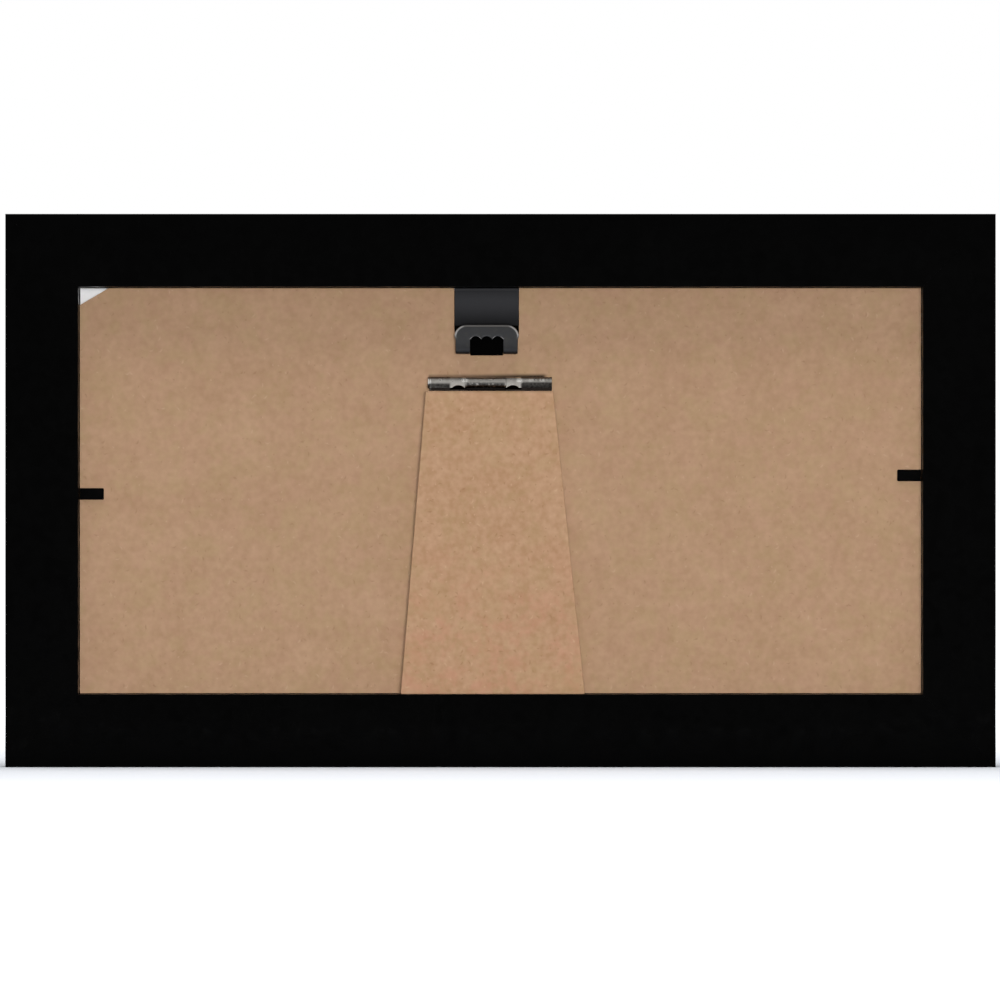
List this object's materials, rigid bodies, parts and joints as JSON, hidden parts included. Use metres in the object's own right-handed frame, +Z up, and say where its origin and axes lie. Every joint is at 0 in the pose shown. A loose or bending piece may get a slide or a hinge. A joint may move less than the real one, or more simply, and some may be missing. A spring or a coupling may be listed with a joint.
{
  "type": "certificate frame",
  "caption": "Landscape frame of mitred moulding with glass, certificate, backing board, folded strap hanger, bendable retaining points and a hinged easel leg.",
  "frame": {"origin": "centre of the frame's width and depth, on the surface that its lower edge stands on", "axes": "+X across the frame, +Y towards the back with the hanger and the leg, +Z up"},
  "size_m": [0.3576, 0.019, 0.1998],
  "materials": {
    "moulding": "satin black lacquer",
    "v_nail_steel": "blackened",
    "glass": "clear polished",
    "paper": "matte",
    "fibreboard": "matte pressed fibre",
    "leg_fibreboard": "matte pressed fibre",
    "black_steel": "semi-gloss black coating",
    "nickel_steel": "nickel plated",
    "blued_steel": "blackened spring steel"
  },
  "bodies": {
    "frame": {"rail_bottom": "moulding", "rail_top": "moulding", "rail_left": "moulding", "rail_right": "moulding", "v_nail_lower_left_outer": "v_nail_steel", "v_nail_lower_left_inner": "v_nail_steel", "v_nail_lower_right_outer": "v_nail_steel", "v_nail_lower_right_inner": "v_nail_steel", "v_nail_upper_right_outer": "v_nail_steel", "v_nail_upper_right_inner": "v_nail_steel", "v_nail_upper_left_outer": "v_nail_steel", "v_nail_upper_left_inner": "v_nail_steel", "flex_point_left_tang": "blued_steel", "flex_point_right_tang": "blued_steel"},
    "back": {"backing_board": "fibreboard", "hanger_strap": "black_steel", "hinge_board_leaf": "nickel_steel", "hinge_pin": "nickel_steel", "hinge_rivet_left": "nickel_steel", "hinge_rivet_right": "nickel_steel"},
    "leg": {"easel_leg": "leg_fibreboard", "hinge_leg_leaf": "nickel_steel"},
    "certificate": {"certificate_sheet": "paper"},
    "glazing": {"glass": "glass"},
    "flex_point_left": {"flex_point_left_tab": "blued_steel"},
    "flex_point_right": {"flex_point_right_tab": "blued_steel"}
  },
  "joints": [
    {"name": "leg_swing", "type": "hinge", "parent": "back", "child": "leg", "pos_m": [0.0035, 0.0046, 0.1389], "axis": [1, 0, 0], "range_deg": [0, 45]},
    {"name": "back_lift", "type": "slide", "parent": "frame", "child": "back", "axis": [0, 1, 0], "range_m": [0, 0.06], "deforming": ["flex_point_left_tab", "flex_point_right_tab"]},
    {"name": "certificate_lift", "type": "slide", "parent": "frame", "child": "certificate", "axis": [0, 1, 0], "range_m": [0, 0.042]},
    {"name": "glass_lift", "type": "slide", "parent": "frame", "child": "glazing", "axis": [0, 1, 0], "range_m": [0, 0.021]},
    {"name": "flex_left_bend", "type": "hinge", "parent": "frame", "child": "flex_point_left", "pos_m": [-0.15215, 0.00275, 0.1054], "axis": [0, 0, 1], "range_deg": [0, 90]},
    {"name": "flex_right_bend", "type": "hinge", "parent": "frame", "child": "flex_point_right", "pos_m": [0.15215, 0.00275, 0.0987], "axis": [0, 0, -1], "range_deg": [0, 90]}
  ],
  "couplings": [
    {"joint": "certificate_lift", "follows": "back_lift", "ratio": 0.7},
    {"joint": "glass_lift", "follows": "back_lift", "ratio": 0.35}
  ]
}
